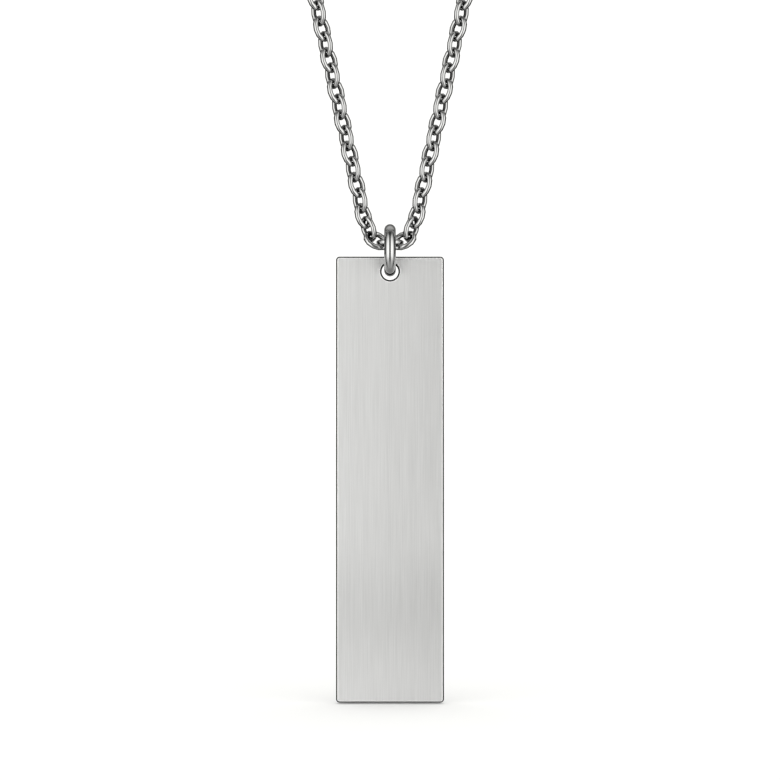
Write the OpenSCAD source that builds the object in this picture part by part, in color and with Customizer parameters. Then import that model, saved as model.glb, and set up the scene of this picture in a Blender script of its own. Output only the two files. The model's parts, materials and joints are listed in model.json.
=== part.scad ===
// A flat bar tag on a round bail ring, hung from the lowest link of a cable chain.
// Millimetres, +Z up, +Y to the back. The chain's loop lies in the XZ plane, its
// clasp at the top and the tag at the bottom. The origin is the middle of the top,
// between the two jump rings, where the necklace hangs.

/* [Tag] */
// Width of the tag
tag_w = 12; // [10:0.1:16]
// Height of the tag
tag_h = 49.6; // [40:0.1:60]
// Thickness of the tag
tag_t = 1.2; // [1:0.1:1.4]
// Radius of the tag's corners, seen from the front
tag_corner_r = 0.4; // [0.3:0.05:2]
// Bevel along every edge of the tag
tag_bevel = 0.14; // [0.05:0.01:0.25]
// Diameter of the tag's hole
hole_d = 1.87; // [1.8:0.01:2.4]
// Metal between the hole and the tag's top edge
hole_band = 0.73; // [0.6:0.01:1.2]
// Bevel round the rim of the hole
hole_bevel = 0.1; // [0.05:0.01:0.15]

/* [Bail ring] */
// Diameter of the bail ring's wire
ring_wire = 1.3; // [1:0.05:1.35]
// Inner diameter of the bail ring
ring_id = 3.24; // [3.1:0.02:3.6]
// Gap between the bail ring and the link and tag that it touches
seat_gap = 0.09; // [0.05:0.01:0.15]

/* [Chain] */
// Diameter of a link's wire
link_wire = 0.6; // [0.5:0.01:0.6]
// Outer length of a link
link_l = 3.1; // [3.08:0.01:3.2]
// Outer width of a link
link_w = 2.32; // [2.3:0.01:2.4]
// Gap between two links where they pull on each other
link_gap = 0.12; // [0.1:0.01:0.15]
// Links on each side of the lowest one
side_links = 121; // [61:2:121]
// Lean of the straight strands from upright, in degrees
strand_lean = 12.5; // [12:0.5:13]
// Turn of every second link about its own length, in degrees. The others are square to it
link_roll = 49.5; // [45:0.5:50]
// Lean of each link against its strand, to one side and then the other, in degrees
link_sway = 3.75; // [0:0.25:4]

/* [Clasp] */
// Diameter of a jump ring's wire
jump_wire = 0.7; // [0.6:0.05:0.7]
// Inner diameter of a jump ring
jump_id = 2.6; // [2.5:0.1:3.2]
// Gap between a jump ring and the clasp, which pull on each other
jump_gap = 0.16; // [0.15:0.01:0.2]
// Length of the clasp, from the middle of its eye to the end of its loop
clasp_l = 10; // [9:0.1:12]
// Outer width of the clasp's loop
clasp_w = 4.8; // [4.6:0.1:6]
// Diameter of the loop's bow
bow_wire = 1.2; // [1:0.1:1.3]
// Diameter of the clasp's barrel
barrel_d = 2.4; // [2:0.1:2.8]
// Length of the clasp's barrel
barrel_l = 2.8; // [2.4:0.1:3.2]
// Bevel round the barrel's ends
barrel_bevel = 0.4; // [0.2:0.05:0.5]
// Depth that the barrel is sunk into the rims of the eye and loop
barrel_sink = 0.2; // [0.1:0.05:0.3]
// Inner diameter of the clasp's eye
eye_id = 1.9; // [1.8:0.1:2.2]
// Diameter of the eye's rim
eye_wire = 1; // [0.8:0.1:1.1]

/* [Hidden] */
$fn = 32;
steel = [0.8, 0.8, 0.81];
bright_steel = [0.66, 0.66, 0.68];
degrees = 180 / PI;
fine = 0.001;

// A link's ends are half rings. Tip is the distance from its middle to its wire's middle.
end_r = (link_w - link_wire) / 2;
tip = (link_l - link_wire) / 2;
pitch = 2 * tip - link_wire - link_gap;

// The lowest links bend round the bail ring. A row is one link of the right-hand side,
// and the left-hand side mirrors it: across, back and up from the lowest link's middle,
// then the link's slope and its roll in degrees.
BEND = [
    [0, 0, 0, 0, 0],
    [1.54, -0.2, 0.2, 26.5, 56],
    [2.38, 0, 1.49, 72, link_roll - 90],
    [2.96, 0, 2.94, 72.5, link_roll]
];
ACROSS = 0;
BACK = 1;
UP = 2;
SLOPE = 3;
ROLL = 4;

// Distances between the middles of the pieces at the top, each pulled against the next.
jump_r = (jump_id + jump_wire) / 2;
eye_r = (eye_id + eye_wire) / 2;
link_to_jump = tip + jump_r - (link_wire + jump_wire) / 2 - link_gap;
eye_to_jump = eye_r + jump_r - (eye_wire + jump_wire) / 2 - jump_gap;
bow_to_jump = jump_r - (bow_wire + jump_wire) / 2 - jump_gap;
half_top = (eye_to_jump + clasp_l - bow_wire / 2 + bow_to_jump) / 2;

// Above the bend each side runs straight from its foot, the middle of its first link, then
// turns evenly in one arc to level at the top. Its radius and the straight length are
// those that close the loop.
foot = [3.33, 0, 4.66];
foot_slope = 90 - strand_lean;
run_links = side_links - len(BEND);
run_l = run_links * pitch + link_to_jump + half_top;
arc_turn = (180 - foot_slope) / degrees;
arc_r = (run_l + foot.x / cos(foot_slope)) / (tan(foot_slope) + arc_turn);
straight_l = (arc_r * sin(foot_slope) - foot.x) / cos(foot_slope);

function slope_at(length) = foot_slope + max(length - straight_l, 0) / arc_r * degrees;
function along(slope) = [cos(slope), 0, sin(slope)];
function step(slope, next_slope) = pitch / 2 * (along(slope) + along(next_slope));
function turned(i) = i % 2 == 0 ? [link_sway, link_roll - 90] : [-link_sway, link_roll];

// Rows like those of BEND for the links above it.
RUN = [
    for (
        i = 0, at = foot;
        i <= run_links;
        at = at + step(slope_at(i * pitch), slope_at((i + 1) * pitch)), i = i + 1
    ) [at.x, at.y, at.z, slope_at(i * pitch) + turned(i)[0], turned(i)[1]]
];
LINKS = concat(BEND, RUN);
last_link = LINKS[side_links];
jump_slope = slope_at(run_l - half_top);
jump_at = [last_link[ACROSS], 0, last_link[UP]] + pitch / 2 * along(slope_at(run_links * pitch))
    + (link_to_jump - pitch / 2) * along(jump_slope);

// The height of the loop above its lowest link, and where the bail ring and tag hang.
top = jump_at.z;
ring_r = (ring_id + ring_wire) / 2;
ring_z = -top - sqrt(pow((ring_id - link_wire) / 2 - seat_gap, 2) - end_r * end_r);
hole_top = ring_z - sqrt(pow(ring_id / 2, 2) - pow(tag_t / 2 - hole_bevel, 2)) + seat_gap;
tag_top = hole_top + hole_band;

// A round wire bent along part of a circle in the XY plane, centred on +X.
module bent_wire(bend_r, wire, turn)
    rotate([0, 0, -turn / 2]) rotate_extrude(angle = turn) translate([bend_r, 0]) circle(d = wire);

// A closed loop of round wire in the XY plane: two half rings and two straight sides,
// half_l each way from the middle.
module wire_loop(half_l, bend_r, wire)
    for (turn = [0, 180]) rotate([0, 0, turn]) {
        translate([half_l, 0, 0]) bent_wire(bend_r, wire, 180);
        translate([0, bend_r, 0]) rotate([0, 90, 0]) cylinder(d = wire, h = 2 * half_l, center = true);
    }

module link() wire_loop(tip - end_r, end_r, link_wire);

// Puts a link, or what stands for one, at a row of LINKS. Side 1 is right and -1 left.
module at_row(row, side)
    translate([side * row[ACROSS], row[BACK], row[UP] - top])
        rotate([0, side > 0 ? -row[SLOPE] : row[SLOPE] - 180, 0])
            rotate([side * row[ROLL], 0, 0]) children();

module chain(side, first)
    for (i = [first:side_links]) at_row(LINKS[i], side) link();

// A flat bar whose edges are bevelled on both faces, seen from above: its section
// across X or across Z, with the thickness along Y.
module bevelled_section(width)
    polygon([
        [-width / 2, -tag_t / 2 + tag_bevel], [-width / 2 + tag_bevel, -tag_t / 2],
        [width / 2 - tag_bevel, -tag_t / 2], [width / 2, -tag_t / 2 + tag_bevel],
        [width / 2, tag_t / 2 - tag_bevel], [width / 2 - tag_bevel, tag_t / 2],
        [-width / 2 + tag_bevel, tag_t / 2], [-width / 2, tag_t / 2 - tag_bevel]
    ]);

module tag_corner()
    rotate([90, 0, 0]) rotate_extrude() polygon([
        [0, -tag_t / 2], [tag_corner_r - tag_bevel, -tag_t / 2],
        [tag_corner_r, -tag_t / 2 + tag_bevel], [tag_corner_r, tag_t / 2 - tag_bevel],
        [tag_corner_r - tag_bevel, tag_t / 2], [0, tag_t / 2]
    ]);

module tag_plate() {
    linear_extrude(tag_h - 2 * tag_corner_r, center = true) bevelled_section(tag_w);
    rotate([0, 90, 0])
        linear_extrude(tag_w - 2 * tag_corner_r, center = true) bevelled_section(tag_h);
    for (x = [-1, 1], z = [-1, 1])
        translate([x * (tag_w / 2 - tag_corner_r), 0, z * (tag_h / 2 - tag_corner_r)]) tag_corner();
}

module tag_hole()
    rotate([90, 0, 0]) {
        cylinder(d = hole_d, h = tag_t + 1, center = true);
        for (face = [0, 180]) rotate([face, 0, 0])
            translate([0, 0, tag_t / 2 - hole_bevel])
                cylinder(d1 = hole_d, d2 = hole_d + 4 * hole_bevel, h = 2 * hole_bevel);
    }

module tag() color(steel)
    difference() {
        translate([0, 0, tag_top - tag_h / 2]) tag_plate();
        translate([0, 0, hole_top - hole_d / 2]) tag_hole();
    }

module bail_ring() color(bright_steel)
    translate([0, 0, ring_z]) rotate([0, 90, 0]) rotate_extrude() translate([ring_r, 0]) circle(d = ring_wire);

module chain_left() color(bright_steel) chain(-1, 1);
module chain_right() color(bright_steel) chain(1, 0);

module jump_ring(side) color(bright_steel)
    at_row([jump_at.x, 0, top, jump_slope, last_link[ROLL] - 90], side)
        rotate_extrude() translate([jump_r, 0]) circle(d = jump_wire);

module jump_ring_left() jump_ring(-1);
module jump_ring_right() jump_ring(1);

// One plain piece: an eye for the left jump ring, a barrel, and a loop for the right one.
module clasp() color(bright_steel) {
    eye_x = eye_to_jump - jump_at.x;
    bow_x = jump_at.x - bow_to_jump;
    bow_r = (clasp_w - bow_wire) / 2;
    barrel_x = eye_x + eye_r - barrel_sink;
    loop_x = barrel_x + barrel_l - barrel_sink;
    // A whole number of fine steps, so that the loop's two halves meet exactly.
    loop_half_l = fine * round((bow_x - loop_x - 2 * bow_r) / 2 / fine);
    rotate([-last_link[ROLL], 0, 0]) {
        translate([eye_x, 0, 0]) rotate_extrude() translate([eye_r, 0]) circle(d = eye_wire);
        translate([barrel_x, 0, 0]) rotate([0, 90, 0]) rotate_extrude() polygon([
            [0, 0], [barrel_d / 2 - barrel_bevel, 0], [barrel_d / 2, barrel_bevel],
            [barrel_d / 2, barrel_l - barrel_bevel], [barrel_d / 2 - barrel_bevel, barrel_l], [0, barrel_l]
        ]);
        translate([bow_x - bow_r - loop_half_l, 0, 0]) wire_loop(loop_half_l, bow_r, bow_wire);
    }
}

tag();
bail_ring();
chain_left();
chain_right();
jump_ring_left();
jump_ring_right();
clasp();
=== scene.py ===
import json
import math

import bpy
import numpy as np
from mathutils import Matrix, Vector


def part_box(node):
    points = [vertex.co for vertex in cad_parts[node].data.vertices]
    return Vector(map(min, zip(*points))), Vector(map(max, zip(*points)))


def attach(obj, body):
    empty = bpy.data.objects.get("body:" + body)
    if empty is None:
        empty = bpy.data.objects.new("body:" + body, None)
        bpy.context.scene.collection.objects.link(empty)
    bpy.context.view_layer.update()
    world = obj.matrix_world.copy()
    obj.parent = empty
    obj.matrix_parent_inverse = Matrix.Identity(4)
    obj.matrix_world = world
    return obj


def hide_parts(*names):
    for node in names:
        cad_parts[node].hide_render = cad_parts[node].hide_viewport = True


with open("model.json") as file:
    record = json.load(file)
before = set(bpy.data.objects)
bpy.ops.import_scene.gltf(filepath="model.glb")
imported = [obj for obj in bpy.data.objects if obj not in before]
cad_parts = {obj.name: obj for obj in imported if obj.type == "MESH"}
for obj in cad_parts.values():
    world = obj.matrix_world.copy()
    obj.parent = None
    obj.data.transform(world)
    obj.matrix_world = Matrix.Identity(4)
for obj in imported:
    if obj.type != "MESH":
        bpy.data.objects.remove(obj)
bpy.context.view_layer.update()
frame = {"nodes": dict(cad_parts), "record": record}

# The view. The photograph looks level and straight at the front of the tag from a few
# hand widths away, so the loop runs out of the top of the picture.
MM = 0.001
PICTURE_SIDE = 780
PIXELS_PER_MM = 9.0
TAG_TOP_ROW = 256.5
LENS = 135.0
SENSOR = 36.0
NEAR_CLIP = 0.01

tag_low, tag_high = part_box("tag")
picture_w = PICTURE_SIDE / PIXELS_PER_MM * MM
camera = bpy.data.objects.new("camera", bpy.data.cameras.new("camera"))
camera.data.lens = LENS
camera.data.sensor_width = SENSOR
camera.data.clip_start = NEAR_CLIP
camera.location = (
    0,
    tag_low.y - picture_w / SENSOR * LENS,
    tag_high.z - (PICTURE_SIDE / 2 - TAG_TOP_ROW) / PIXELS_PER_MM * MM,
)
camera.rotation_euler = (math.pi / 2, 0, 0)
bpy.context.scene.collection.objects.link(camera)
bpy.context.scene.camera = camera


# The studio. The room is white. Polished metal mirrors two tall softboxes, one on each side
# of the camera with a dark gap between them, a ceiling light, a dim back wall and floor, and
# dark screens elsewhere. The floor is plain and pale, just below the foot of the tag.
class Shade:
    """One socket of a node tree. Arithmetic on it adds Math nodes, so that a pattern is
    written as a formula, and node() adds any other node."""

    def __init__(self, tree, socket=None):
        self.tree = tree
        self.socket = socket

    def node(self, kind, settings, sockets, out=0):
        """Adds a node of that kind, with its settings, and then its sockets' values or links
        by name or number. Gives the socket that comes out of it by that name or number."""
        made = self.tree.nodes.new(kind)
        for name, value in settings.items():
            setattr(made, name, value)
        for name, value in sockets.items():
            if isinstance(value, Shade):
                self.tree.links.new(value.socket, made.inputs[name])
            else:
                made.inputs[name].default_value = value
        return Shade(self.tree, made.outputs[out] if made.outputs else None)

    def math(self, operation, *values):
        return self.node("ShaderNodeMath", {"operation": operation}, dict(enumerate(values)))

    def __add__(self, other):
        return self.math("ADD", self, other)

    def __sub__(self, other):
        return self.math("SUBTRACT", self, other)

    def __rsub__(self, other):
        return self.math("SUBTRACT", other, self)

    def __mul__(self, other):
        return self.math("MULTIPLY", self, other)

    def __abs__(self):
        return self.math("ABSOLUTE", self)

    __radd__ = __add__
    __rmul__ = __mul__

    def rising(self, low, high):
        """0 below low, 1 above high, and an even curve between them."""
        return self.node(
            "ShaderNodeMapRange",
            {"interpolation_type": "SMOOTHSTEP"},
            {"Value": self, "From Min": low, "From Max": high},
        )

    def falling(self, low, high):
        """1 below low, 0 above high, and an even curve between them."""
        return 1 - self.rising(low, high)

    def lifted(self, share):
        """A mask that starts at a share and not at 0: share + (1 - share) * mask."""
        return share + (1 - share) * self

    def parts(self):
        """The three parts of a vector."""
        return [self.node("ShaderNodeSeparateXYZ", {}, {0: self}, out) for out in range(3)]

    def times(self, factors):
        """A vector times another, part by part."""
        return self.node("ShaderNodeVectorMath", {"operation": "MULTIPLY"}, {0: self, 1: factors})


# Each light's strength in the mirrored room, and where its edges blend along one part of the
# direction that it is seen in: across, back or up, each from -1 to 1.
LIGHT_TINT = (1.0, 1.0, 0.98, 1.0)
ROOM_LIGHT = 1.12
SCREEN_LIGHT = 0.03
BOX_LIGHT = 2.0
BOX_INNER_EDGE = (0.2, 0.5)
GAP_SHARE = 0.08
BOX_FOOT = (-0.9, -0.35)
BOX_FOOT_SHARE = 0.45
BOX_TOP = (0.85, 1.0)
BOX_OUTER_FADE = (-0.95, 0.25)
CEILING_LIGHT = 0.65
CEILING_RISE = 0.8
CEILING_START = (0.6, 1.3)
CEILING_END = (0.5, 0.9)
WALL_LIGHT = 0.3
WALL_EDGE = (0.82, 0.93)
FLOOR_LIGHT = 0.4
FLOOR_TOP = (-0.97, -0.6)
FLOOR_END = (0.0, 0.35)
FLOOR_GAP = 0.12 * MM
FLOOR_SIDE = 4.0
FLOOR_WHITE = (0.95, 0.95, 0.95, 1.0)

world = bpy.data.worlds.new("studio")
world.use_nodes = True
bpy.context.scene.world = world
room = Shade(world.node_tree)
across, back, up = room.node("ShaderNodeTexCoord", {}, {}, "Generated").parts()
beside_camera = abs(across).rising(*BOX_INNER_EDGE).lifted(GAP_SHARE)
box_height = up.rising(*BOX_FOOT).lifted(BOX_FOOT_SHARE) * up.falling(*BOX_TOP)
softboxes = beside_camera * back.falling(*BOX_OUTER_FADE) * box_height
ceiling = (back + CEILING_RISE * up).rising(*CEILING_START) * back.falling(*CEILING_END)
back_wall = back.rising(*WALL_EDGE)
near_floor = up.falling(*FLOOR_TOP) * back.falling(*FLOOR_END)
mirrored = (
    SCREEN_LIGHT
    + BOX_LIGHT * softboxes
    + CEILING_LIGHT * ceiling
    + WALL_LIGHT * back_wall
    + FLOOR_LIGHT * near_floor
)
is_mirrored = room.node("ShaderNodeLightPath", {}, {}, "Is Glossy Ray")
light = ROOM_LIGHT + is_mirrored * (mirrored - ROOM_LIGHT)
background = world.node_tree.nodes["Background"]
background.inputs["Color"].default_value = LIGHT_TINT
world.node_tree.links.new(light.socket, background.inputs["Strength"])
bpy.context.scene.view_settings.view_transform = "Standard"

half = FLOOR_SIDE / 2
floor_z = tag_low.z - FLOOR_GAP
floor_mesh = bpy.data.meshes.new("floor")
floor_mesh.from_pydata(
    [(x, y, floor_z) for x, y in ((-half, -half), (half, -half), (half, half), (-half, half))],
    [],
    [(0, 1, 2, 3)],
)
floor = bpy.data.objects.new("floor", floor_mesh)
floor.visible_glossy = False
bpy.context.scene.collection.objects.link(floor)
floor_paint = bpy.data.materials.new("floor_paint")
floor_paint.use_nodes = True
floor_paint.node_tree.nodes.clear()
paint = Shade(floor_paint.node_tree)
matt_white = paint.node("ShaderNodeBsdfDiffuse", {}, {"Color": FLOOR_WHITE})
paint.node("ShaderNodeOutputMaterial", {}, {"Surface": matt_white})
floor_mesh.materials.append(floor_paint)


# The tag. A flat bar cut from steel sheet and brushed lengthwise on both faces, with one
# drilled hole near its top. A fine bevel breaks every edge; besides the dark it mirrors, it is
# painted darker as shade, and the narrow lip of the face beside it has a painted highlight.
HOLE_D = 1.87 * MM
HOLE_BAND = 0.73 * MM
CORNER_R = 0.4 * MM
EDGE_BEVEL = 0.17 * MM
RIM_BEVEL = 0.2 * MM
BEVEL_DEPTH = 1.5
BEVEL_POWER = 1.2
LIP_W = 0.1 * MM
CORNER_STEPS = 8
BEVEL_STEPS = 8
RAY_STEP = math.radians(5)


def tag_outline(hole):
    """Places round the tag's outline from the front, across + 1j * up, and the directions
    that they face. A corner's places are its middle plus its radius times a direction that
    turns a quarter. Along a side they lie where rays from the hole's middle, an even angle
    apart, cross it: the side's distance over the cosine of the ray's angle to its facing."""
    right, top = tag_high.x - CORNER_R, tag_high.z - CORNER_R
    bottom = tag_low.z + CORNER_R
    corners = [right + 1j * top, -right + 1j * top, -right + 1j * bottom, right + 1j * bottom]
    quarter = np.linspace(0, math.pi / 2, CORNER_STEPS + 1)
    places, facings = [], []
    for turn, corner in enumerate(corners):
        arc_facings = np.exp(1j * quarter) * 1j**turn
        arc = corner + CORNER_R * arc_facings
        facing = arc_facings[-1]
        side_end = corners[(turn + 1) % 4] + CORNER_R * facing
        rays = np.angle((np.array([arc[-1], side_end]) - hole) / facing)
        count = max(2, math.ceil((rays[1] - rays[0]) / RAY_STEP))
        ray = np.linspace(*rays, count + 1)[1:-1]
        reach = ((arc[-1] - hole) / facing).real
        places += [arc, hole + facing * reach / np.cos(ray) * np.exp(1j * ray)]
        facings += [arc_facings, np.full(count - 1, facing)]
    return np.concatenate(places), np.concatenate(facings)


def soft_bevel(width):
    """How far in from the outline, and how far below the face, the places of a lip and its
    bevel lie. The lip is flat with the face. From the bevel's inner corner its places are at
    width * sin(turn) ** (2 / power) out and depth * cos(turn) ** (2 / power) up, which is
    round for a power of 2, and straight with sharp corners for 1."""
    turn = np.linspace(0, math.pi / 2, BEVEL_STEPS + 1)
    out = abs(np.sin(turn)) ** (2 / BEVEL_POWER)
    up = abs(np.cos(turn)) ** (2 / BEVEL_POWER)
    inset = np.append(width + LIP_W, width * (1 - out))
    depth = np.append(0, BEVEL_DEPTH * width * (1 - up))
    return inset, depth


def tag_skin():
    """The tag's whole surface as a closed grid: over the outer edge from the front face to
    the back, across the back, forward through the hole, and back over the front face. Each
    place on an outer row is outline - inset * facing, and on a hole's row the hole's middle
    plus (radius + inset) * the direction to the same outline place. The second grid grows
    from 0 to 1 over each lip and stays 1 on the bevels and sides."""
    hole = 1j * (tag_high.z - HOLE_BAND - HOLE_D / 2)
    outline, facings = tag_outline(hole)
    spokes = (outline - hole) / abs(outline - hole)
    inset, depth = soft_bevel(EDGE_BEVEL)
    edge = outline - inset[:, None] * facings
    rim_inset, rim_depth = soft_bevel(RIM_BEVEL)
    rim = hole + (HOLE_D / 2 + rim_inset[:, None]) * spokes
    plan = np.concatenate([edge, edge[::-1], rim, rim[::-1]])
    over_edge = np.append(tag_low.y + depth, tag_high.y - depth[::-1])
    through_hole = np.append(tag_high.y - rim_depth, tag_low.y + rim_depth[::-1])
    level = np.broadcast_to(np.append(over_edge, through_hole)[:, None], plan.shape)
    # The grid for the lip's painted highlight: 0 at the lip's inner edge, 1 from its outer edge
    # on.
    highlit = np.append(0, np.ones(BEVEL_STEPS + 1))
    lip = np.broadcast_to(np.concatenate([highlit, highlit[::-1]] * 2)[:, None], plan.shape)
    return np.stack([plan.real, level, plan.imag], axis=-1), lip


def add_piece(name, skins, metal, body, slot, **marks):
    """One mesh of closed skins: grids of points whose rows and columns both close on
    themselves. A step to the next row, crossed with one along the row, points outwards.
    Each of the marks is a grid of numbers, the same for every skin, that its metal reads."""
    rows, columns = skins[0].shape[:2]
    spot = np.arange(rows * columns).reshape(rows, columns)
    below, beside = np.roll(spot, -1, axis=0), np.roll(spot, -1, axis=1)
    quads = np.stack([spot, below, np.roll(below, -1, axis=1), beside], axis=-1).reshape(-1, 4)
    firsts = np.arange(len(skins)) * rows * columns
    quads = (quads + firsts[:, None, None]).reshape(-1, 4)
    mesh = bpy.data.meshes.new(name)
    mesh.from_pydata(np.concatenate(skins).reshape(-1, 3), [], quads)
    mesh.polygons.foreach_set("use_smooth", np.ones(len(quads), bool))
    for mark, grid in marks.items():
        numbers = mesh.attributes.new(mark, "FLOAT", "POINT").data
        numbers.foreach_set("value", np.tile(grid.ravel(), len(skins)))
    mesh.materials.append(metal)
    piece = bpy.data.objects.new(name, mesh)
    bpy.context.scene.collection.objects.link(piece)
    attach(piece, body)
    return piece


def bare_metal(name, slot, pattern, sideways_spread=0.0):
    """A bare metal in the record's colour for that slot. The pattern takes a place on the
    piece in millimetres, and gives a factor on the colour, the roughness, and the height of
    the surface in micrometres. Sideways spread, from 0 to 1, is how much further the metal
    smears what it mirrors one way than the other, as a brushed one does."""
    made = bpy.data.materials.new(name)
    made.use_nodes = True
    shader = made.node_tree.nodes["Principled BSDF"]
    shader.inputs["Metallic"].default_value = 1.0
    shader.inputs["Anisotropic"].default_value = sideways_spread
    colour = next(m["base_color"] for m in frame["record"]["materials"] if m["slot"] == slot)
    place = Shade(made.node_tree).node("ShaderNodeTexCoord", {}, {}, "Object").times((1 / MM,) * 3)
    tone, roughness, height = pattern(place)
    tinted = place.node("ShaderNodeVectorMath", {"operation": "SCALE"}, {0: colour, "Scale": tone})
    relief = place.node("ShaderNodeBump", {}, {"Height": height, "Distance": MM * MM})
    for socket, value in (("Base Color", tinted), ("Roughness", roughness), ("Normal", relief)):
        made.node_tree.links.new(value.socket, shader.inputs[socket])
    return made


GRAIN_DETAIL = 3.0


def grain(place, width, length):
    """Noise from 0 to 1 in upright streaks of that width and length in millimetres."""
    stretched = place.times((1 / width, 1 / width, 1 / length))
    sockets = {"Vector": stretched, "Scale": 1.0, "Detail": GRAIN_DETAIL}
    return place.node("ShaderNodeTexNoise", {}, sockets)


# The brushing, and the shade and highlight painted on the tag, in millimetres, tones and
# roughnesses.
# The side is all that lies deeper than its start below a face: the bevels, and past them the cut
# sides and the inside of the hole.
GROOVES = (0.05, 10)
STREAKS = (0.12, 7)
BROAD_STREAKS = (0.7, 60)
GROOVE_DEPTH = 5.0
FACE_TONE = 0.84
# Painted shade: the face is painted a little darker for each millimetre to the right.
PAINTED_SHADE_PER_MM = -0.009
# Painted shade: a broad band of the face low on the tag, at this height, is painted darker as a
# soft dark reflection, and the tone comes back over the reach.
PAINTED_BAND_Z = -236.8
PAINTED_BAND_REACH = 9
BEYOND_PAINTED_BAND_TONE = 0.08
STREAK_TONE = 0.26
BROAD_STREAK_TONE = 0.08
# Painted highlight: the lip's tone is raised by this, standing in for the bright line along the
# edge.
LIP_HIGHLIGHT_TONE = 0.65
FACE_ROUGH = 0.45
STREAK_ROUGH = 0.15
SIDE_START = (0.01, 0.05)
# Painted shade: the bevels are painted this much darker, besides the dark they mirror; the cut
# sides past them get part back.
SIDE_PAINTED_SHADE = 0.93
CUT_SIDE_START = (0.29, 0.35)
CUT_SIDE_GAIN = 0.4
SIDE_ROUGH_LOSS = 0.3
SIDE_GROOVE_LOSS = 0.85
BRUSHED_SPREAD = 0.85


def brushed(place):
    """Hair-fine upright grooves and streaks of a slightly different grey. On the face, painted
    shade darkens it towards the right, and a broad band of painted shade low on the tag stands in
    for a soft dark reflection. The lip has a painted highlight. The side is smooth; its bevels are
    painted dark as shade, besides the dark they mirror, and past them, on what was cut, it is a
    plain grey."""
    across, back, up = place.parts()
    lip = place.node("ShaderNodeAttribute", {"attribute_name": "lip"}, {}, "Fac")
    depth = tag_high.y / MM - abs(back)
    side = depth.rising(*SIDE_START)
    cut_side = depth.rising(*CUT_SIDE_START)
    beyond_painted_band = abs(up - PAINTED_BAND_Z).rising(0, PAINTED_BAND_REACH)
    grooves = grain(place, *GROOVES) - 0.5
    streaks = grain(place, *STREAKS) - 0.5
    broad_streaks = grain(place, *BROAD_STREAKS) - 0.5
    face = FACE_TONE + PAINTED_SHADE_PER_MM * across + BEYOND_PAINTED_BAND_TONE * beyond_painted_band
    face = face + STREAK_TONE * streaks + BROAD_STREAK_TONE * broad_streaks
    side_share = 1 - SIDE_PAINTED_SHADE * side + CUT_SIDE_GAIN * cut_side
    tone = (face + LIP_HIGHLIGHT_TONE * lip) * side_share
    roughness = FACE_ROUGH + STREAK_ROUGH * streaks - SIDE_ROUGH_LOSS * side
    height = GROOVE_DEPTH * (1 - SIDE_GROOVE_LOSS * side) * grooves
    return tone, roughness, height


brushed_steel = bare_metal("brushed_steel", "tag", brushed, BRUSHED_SPREAD)
skin, lip = tag_skin()
tag = add_piece("bar_tag", [skin], brushed_steel, "tag", "tag", lip=lip)
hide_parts("tag")


# The bail ring. One closed ring of thick round steel wire, polished, that goes through the
# tag's hole and round both sides of the chain's lowest link.
RING_MARK_SIZE = 0.12
RING_MARK_TONE = 0.1
RING_MARK_DEPTH = 0.2
RING_ROUGH = 0.08
RING_MARK_ROUGH = 0.08


def dark_polish(place):
    """A soft polish with faint marks in every direction."""
    marks = grain(place, RING_MARK_SIZE, RING_MARK_SIZE)
    tone = 1 + RING_MARK_TONE * (marks - 0.5)
    return tone, RING_ROUGH + RING_MARK_ROUGH * marks, RING_MARK_DEPTH * marks


ring_steel = bare_metal("ring_steel", "bail_ring", dark_polish)
frame["nodes"]["bail_ring"].material_slots[0].material = ring_steel


# The chain. Oval links of round polished steel wire, each turned a quarter against the
# next and pulled against it. The lowest links bend round the bail ring, the strands run
# straight, and both turn in one even arc to meet behind the neck.
LINK_WIRE = 0.6 * MM
LINK_L = 3.11 * MM
LINK_W = 2.28 * MM
LINK_GAP = 0.13 * MM
SIDE_LINKS = 121
STRAND_LEAN = math.radians(12.5)
LINK_ROLL = 49.5
LINK_SWAY = 3.75
TO_JUMP_RING = 2.13 * MM
HALF_CLASP_L = 6.015 * MM
LINK_STEPS = 12
WIRE_SIDES = 6
INSIDE_SHARE = 0.75
CROOK_POWER = 3

# One row for each of the lowest links on the right: across, back and up from the lowest
# link's middle in millimetres, then its slope and its roll in degrees. The foot is the
# middle of the next link, the first of the straight run.
BEND = np.array([
    (0, 0, 0, 0, 0),
    (1.54, -0.2, 0.2, 26.5, 56),
    (2.38, 0, 1.49, 72, LINK_ROLL - 90),
    (2.96, 0, 2.94, 72.5, LINK_ROLL),
])
FOOT = np.array([3.33, 0, 4.66]) * MM


def along(slope):
    """The direction across and up of a strand at that slope."""
    return np.stack([np.cos(slope), np.zeros_like(slope), np.sin(slope)], axis=-1)


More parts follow.
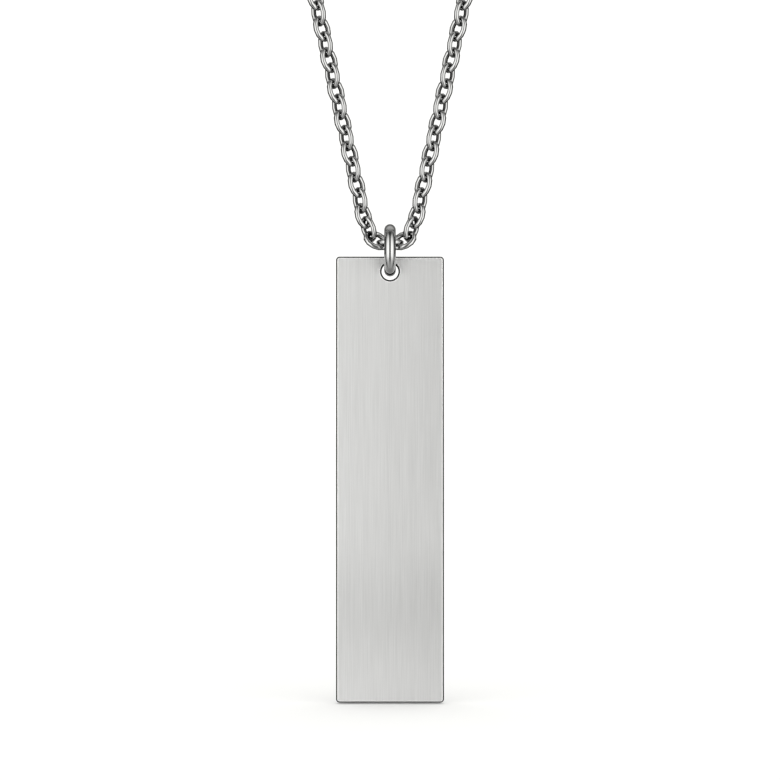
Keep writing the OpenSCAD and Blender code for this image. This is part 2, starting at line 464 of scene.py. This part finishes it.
def right_links():
    """The middles, slopes and rolls of the links from the lowest one up the right-hand side.
    Above the bend the strand's slope stays even for the straight length, then grows with the
    length along one arc. The arc's radius is the one that brings the strand to the middle of
    the clasp. Each step to the next link is half a pitch along each of the two slopes. Every
    second link turns and leans one way, and the others the other way."""
    pitch = LINK_L - 2 * LINK_WIRE - LINK_GAP
    foot_slope = math.pi / 2 - STRAND_LEAN
    run_links = SIDE_LINKS - len(BEND)
    run_l = run_links * pitch + TO_JUMP_RING + HALF_CLASP_L
    run_from_middle = run_l + FOOT[0] / math.cos(foot_slope)
    arc_r = run_from_middle / (math.tan(foot_slope) + math.pi - foot_slope)
    straight_l = (arc_r * math.sin(foot_slope) - FOOT[0]) / math.cos(foot_slope)

    run = np.arange(run_links + 1)
    slopes = foot_slope + np.maximum(run * pitch - straight_l, 0) / arc_r
    steps = pitch / 2 * (along(slopes[:-1]) + along(slopes[1:]))
    middles = FOOT + np.cumsum(np.concatenate([np.zeros((1, 3)), steps]), axis=0)
    sways = np.where(run % 2, -LINK_SWAY, LINK_SWAY)
    rolls = np.where(run % 2, LINK_ROLL, LINK_ROLL - 90)

    jump_slope = foot_slope + (run_l - HALF_CLASP_L - straight_l) / arc_r
    last_half = pitch / 2 * math.sin(slopes[-1])
    jump_half = (TO_JUMP_RING - pitch / 2) * math.sin(jump_slope)
    top = middles[-1, 2] + last_half + jump_half
    middles = np.concatenate([BEND[:, :3] * MM, middles]) - (0, 0, top)
    slopes = np.radians(np.concatenate([BEND[:, 3], np.degrees(slopes) + sways]))
    return middles, slopes, np.radians(np.concatenate([BEND[:, 4], rolls]))


def oval_link():
    """One link lying flat with its length along X, as a grid: a round wire about the oval
    (half length * cos(turn), half width * sin(turn)). Each place is the oval's place plus
    the wire's radius times (cos(around) * the oval's outward direction + sin(around) * up).
    The second grid is how far each place faces into the link's hole, most in the crooks of
    its ends: the part of -cos(around) above 0, times a share plus the rest of |cos(turn)|
    to a power."""
    turn = np.arange(LINK_STEPS) / LINK_STEPS * math.tau
    around = (np.arange(WIRE_SIDES) + 0.5) / WIRE_SIDES * math.tau
    half_l, half_w = (LINK_L - LINK_WIRE) / 2, (LINK_W - LINK_WIRE) / 2
    oval = half_l * np.cos(turn) + 1j * half_w * np.sin(turn)
    outward = half_w * np.cos(turn) + 1j * half_l * np.sin(turn)
    outward = outward / abs(outward)
    plan = oval[:, None] + LINK_WIRE / 2 * np.outer(outward, np.cos(around))
    level = np.broadcast_to(LINK_WIRE / 2 * np.sin(around), plan.shape)
    # The crooks that this grid marks are where the links are painted dark as shade.
    ends = INSIDE_SHARE + (1 - INSIDE_SHARE) * abs(np.cos(turn)) ** CROOK_POWER
    crooks = np.outer(ends, np.maximum(-np.cos(around), 0))
    return np.stack([plan.real, plan.imag, level], axis=-1), crooks


def chain_skins(link):
    """A copy of the link at each place from the lowest one up the right-hand side. A link's
    own axes are the strand's direction, and two directions square to it that the roll turns:
    cos(roll) * back + sin(roll) * upper, and cos(roll) * upper - sin(roll) * back."""
    middles, slopes, rolls = right_links()
    upper_way = along(slopes + math.pi / 2)
    back_way = np.array([0, 1, 0])
    cos, sin = np.cos(rolls)[:, None], np.sin(rolls)[:, None]
    width_way = cos * back_way + sin * upper_way
    flat_way = cos * upper_way - sin * back_way
    axes = np.stack([along(slopes), width_way, flat_way], axis=1)
    return middles[:, None, None] + np.einsum("rcx,lxy->lrcy", link, axes)


LINK_MARK_SIZE = 0.1
LINK_MARK_TONE = 0.08
LINK_MARK_DEPTH = 0.1
LINK_TONE = 0.86
LINK_ROUGH = 0.03
LINK_MARK_ROUGH = 0.05
CROOK_EDGE = (0.3, 0.75)
# Painted shade: the crooks of the links are painted this much darker.
CROOK_PAINTED_SHADE = 0.97
CROOK_ROUGH = 0.1


def bright_polish(place):
    """A mirror polish that fine marks soften in patches. The crooks of the links, where they
    meet, are rougher and painted dark as shade."""
    marks = grain(place, LINK_MARK_SIZE, LINK_MARK_SIZE)
    inside = place.node("ShaderNodeAttribute", {"attribute_name": "crook"}, {}, "Fac")
    crook = inside.rising(*CROOK_EDGE)
    tone = (LINK_TONE + LINK_MARK_TONE * (marks - 0.5)) * (1 - CROOK_PAINTED_SHADE * crook)
    roughness = LINK_ROUGH + LINK_MARK_ROUGH * marks + CROOK_ROUGH * crook
    return tone, roughness, LINK_MARK_DEPTH * marks


# The left-hand side is the right-hand one without its lowest link, mirrored, with the
# columns of its grids reversed so that they still face outwards.
chain_steel = bare_metal("chain_steel", "chain", bright_polish)
link, crooks = oval_link()
right_skins = chain_skins(link)
left_skins = (right_skins[1:] * (-1, 1, 1))[:, :, ::-1]
right = add_piece("links_right", right_skins, chain_steel, "chain", "chain", crook=crooks)
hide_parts("chain_right")
left = add_piece("links_left", left_skins, chain_steel, "chain", "chain", crook=crooks[:, ::-1])
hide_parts("chain_left")


# The clasp. One plain polished piece, an eye, a barrel and a loop, with a round jump ring
# at each end that joins it to a strand's last link.
clasp_steel = bare_metal("clasp_steel", "clasp", bright_polish)
for name in ("clasp", "jump_ring_left", "jump_ring_right"):
    frame["nodes"][name].material_slots[0].material = clasp_steel
